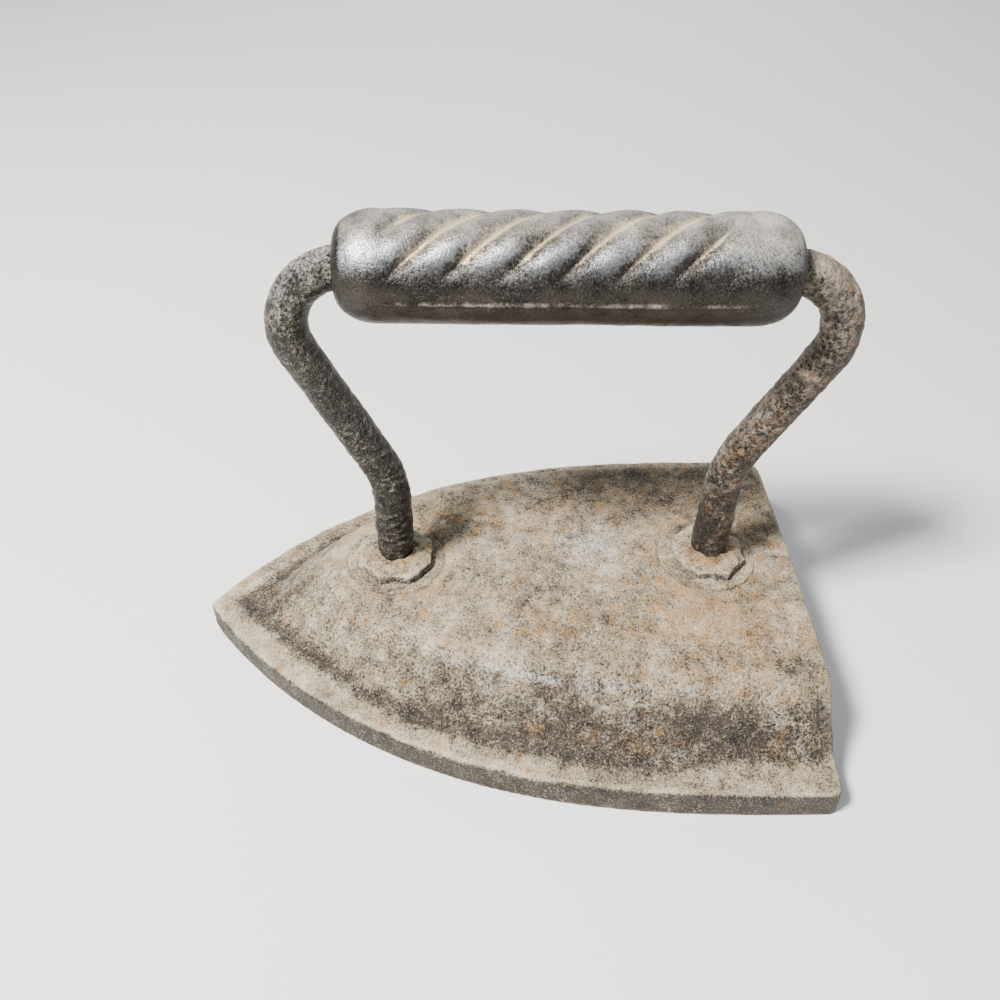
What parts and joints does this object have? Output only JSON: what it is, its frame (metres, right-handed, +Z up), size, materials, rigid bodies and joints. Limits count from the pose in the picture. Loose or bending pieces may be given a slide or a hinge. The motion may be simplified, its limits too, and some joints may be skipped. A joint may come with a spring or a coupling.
{
  "type": "flat iron",
  "caption": "Heavy cast flat iron for heating on a stove, with a bent wrought rod handle and a spiral-fluted cast grip.",
  "frame": {"origin": "under the middle of the sole, on the surface that it stands on", "axes": "+X points to the toe, +Y across the sole, +Z up from the sole to the grip"},
  "size_m": [0.1694, 0.13, 0.131],
  "materials": {
    "body_iron": "old cast iron with a pale dusty crust over brown rust, dark where the sides are worn",
    "rod_iron": "wrought iron with a dark pitted scale and ochre rust",
    "nut_iron": "pale rusted iron with worn corners",
    "grip_iron": "dark cast iron polished by hands, with dust in the grooves",
    "core_clay": "baked sand and clay"
  },
  "bodies": {
    "root": {"iron_body": "body_iron", "handle_rod": "rod_iron", "front_washer": "nut_iron", "rear_washer": "nut_iron", "front_nut": "nut_iron", "rear_nut": "nut_iron", "grip": "grip_iron", "grip_core": "core_clay"}
  },
  "joints": []
}
